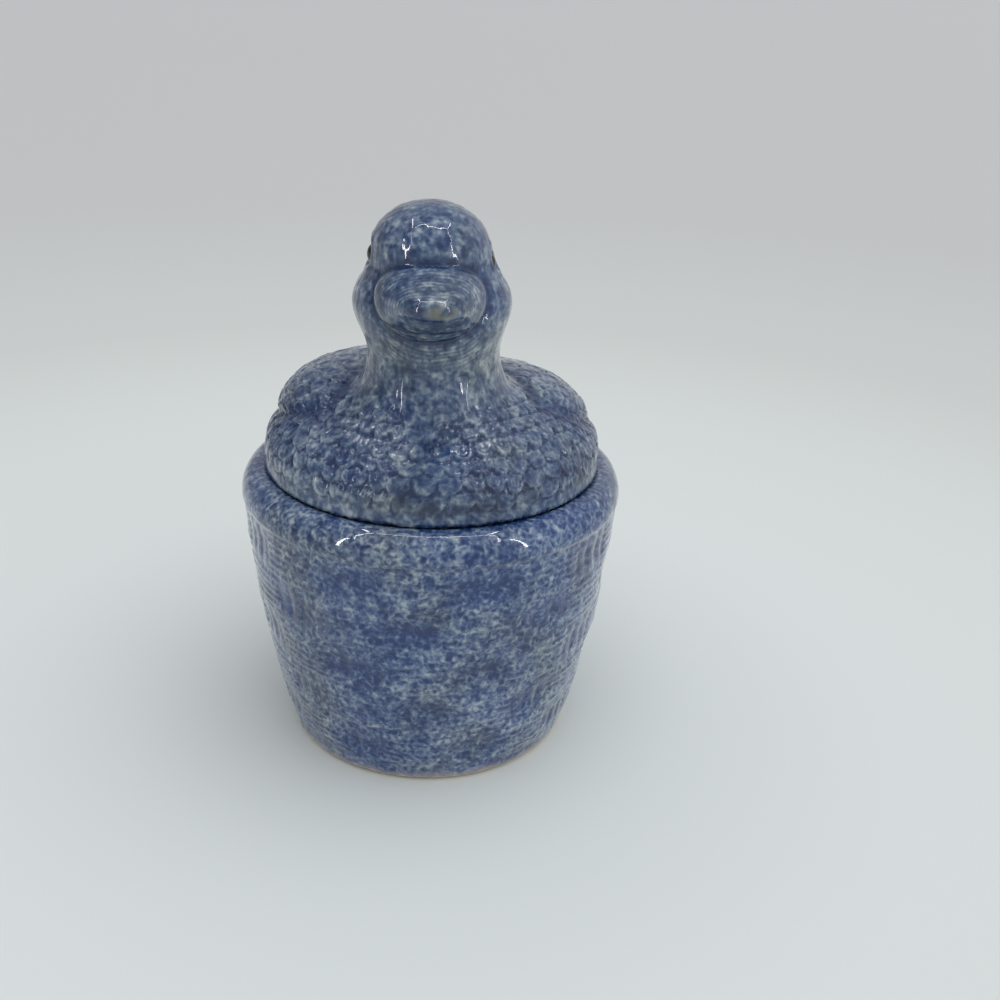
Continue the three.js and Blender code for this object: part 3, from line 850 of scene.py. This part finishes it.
def sponged_glaze(name, blues, sponging, feathered):
    """Blue glaze sponged over a pale ground: dark where it pools, pale where it breaks over the relief, and on
    the lid with painted shade and painted light.
    """
    glaze = Finish(name, IOR=1.5, Specular_IOR_Level=0.2, Coat_Roughness=0.04, Coat_IOR=1.5)
    place = glaze.place()
    flow = pulled_along(glaze, place)
    tone, dabs = sponged_tone(glaze, place, flow, sponging)
    cloud = glaze.span(glaze.speckle(flow, 60.0, 3.0, 0.55), 0.46, 0.68, 0.0, 0.6)
    if feathered:
        # Painted shade on the lid's lower body and crown
        tone = glaze.math("MULTIPLY_ADD", glaze.value("painted_shade"), PAINTED_SHADE_DARKENS, tone)
        wave = glaze.math("SINE", glaze.math("MULTIPLY", glaze.value("barb"), 2 * math.pi / BARB_SPACING))
        broken = glaze.math("MULTIPLY", glaze.span(dabs, 0.35, 0.65, 0.2, 1.3), glaze.value("arcs"))
        tone = glaze.math("MULTIPLY_ADD", glaze.math("MULTIPLY", wave, broken), ARCS_LIGHTEN, tone)
        # Greyer at the throat's glaze, and painted light and sheen under the bill and on the lower breast
        cloud = glaze.math("MULTIPLY_ADD", glaze.value("grey_and_painted_light"), 0.55, cloud, clamp=True)
    tone = glaze.span(tone, 0.0, 1.0)
    blue, ash = (glaze.ramp(tone, list(zip(SHADES_AT, shades))) for shades in (blues, GREYS))
    colour = glaze.between(cloud, blue, ash)
    if feathered:
        olive = glaze.span(glaze.speckle(flow, 260.0, 1.0), 0.40, 0.52, 0.0, 0.55)
        rubbed = glaze.math("MULTIPLY", olive, glaze.value("worn"))
        colour = glaze.between(rubbed, colour, paint(134, 136, 112))
    colour, bare = with_clay(glaze, place, colour)
    glaze.feed(glaze.shader.inputs["Base Color"], colour)
    rough = glaze.span(glaze.speckle(flow, 260.0), 0.3, 0.7, 0.22, 0.36)
    glaze.feed(glaze.shader.inputs["Roughness"], glaze.math("MULTIPLY_ADD", bare, 0.5, rough))
    glaze.feed(glaze.shader.inputs["Coat Weight"], glaze.math("SUBTRACT", 1.0, bare))
    ripple = glaze.speckle(place, 520.0, 1.0)
    grain = glaze.math("MULTIPLY_ADD", tone, 0.8, ripple)
    if feathered:
        grain = glaze.math("MULTIPLY_ADD", glaze.math("MULTIPLY", wave, glaze.value("plumed")), 0.25, grain)
    bump = glaze.node("ShaderNodeBump", Strength=0.5, Distance=0.16 * MM, Height=grain)
    glaze.feed(glaze.shader.inputs["Normal"], bump.outputs[0])
    skin = glaze.node("ShaderNodeBump", Strength=0.25, Distance=0.06 * MM, Height=ripple)
    glaze.feed(glaze.shader.inputs["Coat Normal"], skin.outputs[0])
    return glaze.material


def eye_enamel():
    """Near-black enamel, a little browner round the bead's middle."""
    enamel = Finish("eye_enamel", IOR=1.5, Specular_IOR_Level=0.2, Coat_Weight=1.0, Coat_Roughness=0.02)
    ring = enamel.value("from_middle")
    mottle = enamel.speckle(enamel.place(), 1500.0, 2.0)
    ring = enamel.math("MULTIPLY_ADD", enamel.math("SUBTRACT", mottle, 0.5), 0.12, ring)
    colour = enamel.ramp(ring, [(0.0, paint(8, 7, 7)), (0.50, paint(9, 8, 8)), (0.58, paint(24, 15, 11)),
                                (0.80, paint(16, 11, 9)), (1.0, paint(8, 7, 7))])
    enamel.feed(enamel.shader.inputs["Base Color"], colour)
    rough = enamel.span(enamel.speckle(enamel.place(), 900.0), 0.3, 0.7, 0.06, 0.16)
    enamel.feed(enamel.shader.inputs["Roughness"], rough)
    return enamel.material


def shades(*colours):
    return [paint(*colour) for colour in colours]


LID_BLUES = shades((14, 40, 86), (35, 61, 101), (57, 80, 115),
                   (80, 99, 128), (112, 127, 147), (148, 161, 174))
BOWL_BLUES = shades((16, 43, 97), (39, 66, 113), (64, 87, 128),
                    (87, 106, 140), (117, 133, 154), (152, 165, 180))
GREYS = shades((28, 42, 62), (48, 63, 84), (70, 84, 100),
               (92, 105, 115), (124, 134, 138), (156, 164, 163))

make_bowl(sponged_glaze("bowl_glaze", BOWL_BLUES, BOWL_SPONGING, feathered=False))
make_lid(sponged_glaze("lid_glaze", LID_BLUES, LID_SPONGING, feathered=True))
enamel = eye_enamel()
make_eye("right_eye", RIGHT, enamel)
make_eye("left_eye", LEFT, enamel)


# Paper floor, in metres, painted with light and shade: a touch darker close to the box, lightest a little way
# out and darker towards the horizon; its shades by their share of the way to where it is darkest
FLOOR_REACH, PAPER_DARK_FROM = 60, 0.7
PAPER_PAINTED_LIGHT = ((0.05, (209, 215, 215)), (0.18, (215, 220, 220)), (0.33, (210, 215, 214)),
                (0.50, (200, 204, 203)), (0.71, (196, 199, 199)), (0.97, (192, 194, 195)))


def make_floor():
    """Sheet of pale paper, wide enough to reach the horizon, painted lighter and darker by its distance from
    the box.
    """
    bm = bmesh.new()
    bmesh.ops.create_circle(bm, cap_ends=True, segments=96, radius=1.0)
    rim = [edge for edge in bm.edges if edge.is_boundary]
    reach = bmesh.ops.extrude_edge_only(bm, edges=rim)["geom"]
    outer = [vert for vert in reach if isinstance(vert, bmesh.types.BMVert)]
    bmesh.ops.scale(bm, vec=(FLOOR_REACH, FLOOR_REACH, 1), verts=outer)
    floor = piece_from(bm, "paper_floor")
    paper = Finish("paper", Roughness=0.6, Specular_IOR_Level=0.2)
    place = paper.place()
    away = paper.node("ShaderNodeVectorMath", {"operation": "LENGTH"}, Vector=place).outputs["Value"]
    far = paper.span(away, 0.0, PAPER_DARK_FROM)
    fibre_and_distance = paper.math("MULTIPLY_ADD", paper.speckle(place, 900.0, 3.0), 0.02, far)
    # Painted light and shade: the paper's colour is graded by distance from the box, lightest a little way out
    # and darker far off
    paper_and_painted_light = paper.ramp(fibre_and_distance, [(share, paint(*shade)) for share, shade in PAPER_PAINTED_LIGHT])
    paper.feed(paper.shader.inputs["Base Color"], paper_and_painted_light)
    floor.data.materials.append(paper.material)


# Camera, fitted to the photograph: lens and aim, and where the picture shows the middle of the rim, in pixels
FOCAL_PIXELS, PICTURE_PIXELS, RIM_SEEN_AT = 1150.0, 1000, (432.5, 474.0)
CAMERA_PITCH, CAMERA_ROLL, CAMERA_DISTANCE, RIM_MIDDLE = 24.5, 2.4, 265.7, 61.7
SENSOR_WIDTH = 36


def make_camera():
    """Hand-held camera just above the box, tilted down and a little askew."""
    pitch, roll = math.radians(CAMERA_PITCH), math.radians(CAMERA_ROLL)
    ahead = Vector((0, math.cos(pitch), -math.sin(pitch)))
    above = Vector((0, math.sin(pitch), math.cos(pitch)))
    right = Vector((1, 0, 0))
    c, s = math.cos(roll), math.sin(roll)
    u = (RIM_SEEN_AT[0] - PICTURE_PIXELS / 2) / FOCAL_PIXELS
    v = (PICTURE_PIXELS / 2 - RIM_SEEN_AT[1]) / FOCAL_PIXELS
    to_rim = (ahead + (c * u - s * v) * right + (s * u + c * v) * above) * CAMERA_DISTANCE
    at = Vector((0, 0, RIM_MIDDLE)) - to_rim
    data = bpy.data.cameras.new("camera")
    data.sensor_width = SENSOR_WIDTH
    data.lens = SENSOR_WIDTH * FOCAL_PIXELS / PICTURE_PIXELS
    data.clip_start = 0.01
    camera = bpy.data.objects.new("camera", data)
    axes = Matrix((c * right + s * above, -s * right + c * above, -ahead)).transposed()
    camera.matrix_world = Matrix.Translation(at * MM) @ axes.to_4x4()
    bpy.context.scene.collection.objects.link(camera)
    bpy.context.scene.camera = camera


# Light frame over and before the box, seen only as lines in the glaze: ends of each strip and its width
FRAME_TOP, FRAME_FACE, STRIP_RADIANCE = 300, -150, 24.0
BAR, SLOPE, UPRIGHT = 4.8, 1.8, 6.0
STRIPS = {"cross_bar": ((-75, -16, FRAME_TOP), (76, -16, FRAME_TOP), BAR),
          "left_rail": ((-84, -4, FRAME_TOP), (-84, 46, FRAME_TOP), BAR),
          "right_rail": ((80, -4, FRAME_TOP), (80, 46, FRAME_TOP), BAR),
          "left_slope": ((-80, -20, FRAME_TOP), (-138, FRAME_FACE, 223), SLOPE),
          "right_slope": ((82, -20, FRAME_TOP), (150, FRAME_FACE, 235), SLOPE),
          "left_upright": ((-152, FRAME_FACE, 70), (-152, FRAME_FACE, 215), UPRIGHT),
          "right_upright": ((202, FRAME_FACE, 80), (202, FRAME_FACE, 275), UPRIGHT)}
STRIPS_FACE = (0, 0, 90)

# Strength of the walls as they light the box, as the camera sees them, and as mirrored at left and right
WALLS_LIGHTING, WALLS_SEEN, WALLS_MIRRORED = 0.60, 0.54, (0.26, 0.68)
SOFT_STRENGTH, SOFT_ANGLE, SOFT_FROM = 1.50, 85, (18, 20, 0)


def add_strip(name, first, last, width):
    """Thin strip of light from one point to another in millimetres."""
    first, last = Vector(first) * MM, Vector(last) * MM
    middle = (first + last) / 2
    along = (last - first).normalized()
    away = middle - Vector(STRIPS_FACE) * MM
    away = (away - away.dot(along) * along).normalized()
    data = bpy.data.lights.new(name, "AREA")
    data.shape = "RECTANGLE"
    data.size = (last - first).length
    data.size_y = width * MM
    data.energy = STRIP_RADIANCE * math.pi * data.size * data.size_y
    light = bpy.data.objects.new(name, data)
    axes = Matrix((along, away.cross(along), away)).transposed()
    light.visible_diffuse = False
    light.matrix_world = Matrix.Translation(middle) @ axes.to_4x4()
    bpy.context.scene.collection.objects.link(light)


def set_range(node, **numbers):
    for key, number in numbers.items():
        node.inputs[key.replace("_", " ")].default_value = number


def light_studio():
    """Thin strips of a light frame, which the glaze mirrors, and a wide soft light, which it doesn't."""
    world = bpy.data.worlds.new("studio")
    bpy.context.scene.world = world
    world.use_nodes = True
    nodes, links = world.node_tree.nodes, world.node_tree.links
    walls, path = nodes["Background"], nodes.new("ShaderNodeLightPath")
    walls.inputs["Color"].default_value = (0.98, 0.99, 1.0, 1)
    plain = nodes.new("ShaderNodeMapRange")
    set_range(plain, To_Min=WALLS_LIGHTING, To_Max=WALLS_SEEN)
    links.new(path.outputs["Is Camera Ray"], plain.inputs["Value"])
    heading, across = nodes.new("ShaderNodeTexCoord"), nodes.new("ShaderNodeSeparateXYZ")
    links.new(heading.outputs["Generated"], across.inputs[0])
    mirrored = nodes.new("ShaderNodeMapRange")
    set_range(mirrored, From_Min=-1.0, From_Max=1.0, To_Min=WALLS_MIRRORED[0], To_Max=WALLS_MIRRORED[1])
    links.new(across.outputs["X"], mirrored.inputs["Value"])
    either = nodes.new("ShaderNodeMix")
    links.new(path.outputs["Is Glossy Ray"], either.inputs["Factor"])
    links.new(plain.outputs["Result"], either.inputs["A"])
    links.new(mirrored.outputs["Result"], either.inputs["B"])
    links.new(either.outputs["Result"], walls.inputs["Strength"])
    for name, (first, last, width) in STRIPS.items():
        add_strip(name, first, last, width)
    data = bpy.data.lights.new("soft_daylight", "SUN")
    data.energy, data.angle = SOFT_STRENGTH, math.radians(SOFT_ANGLE)
    soft = bpy.data.objects.new("soft_daylight", data)
    soft.rotation_euler = [math.radians(angle) for angle in SOFT_FROM]
    soft.visible_glossy = False
    bpy.context.scene.collection.objects.link(soft)


make_floor()
make_camera()
light_studio()
bpy.context.scene.view_settings.view_transform = "Standard"
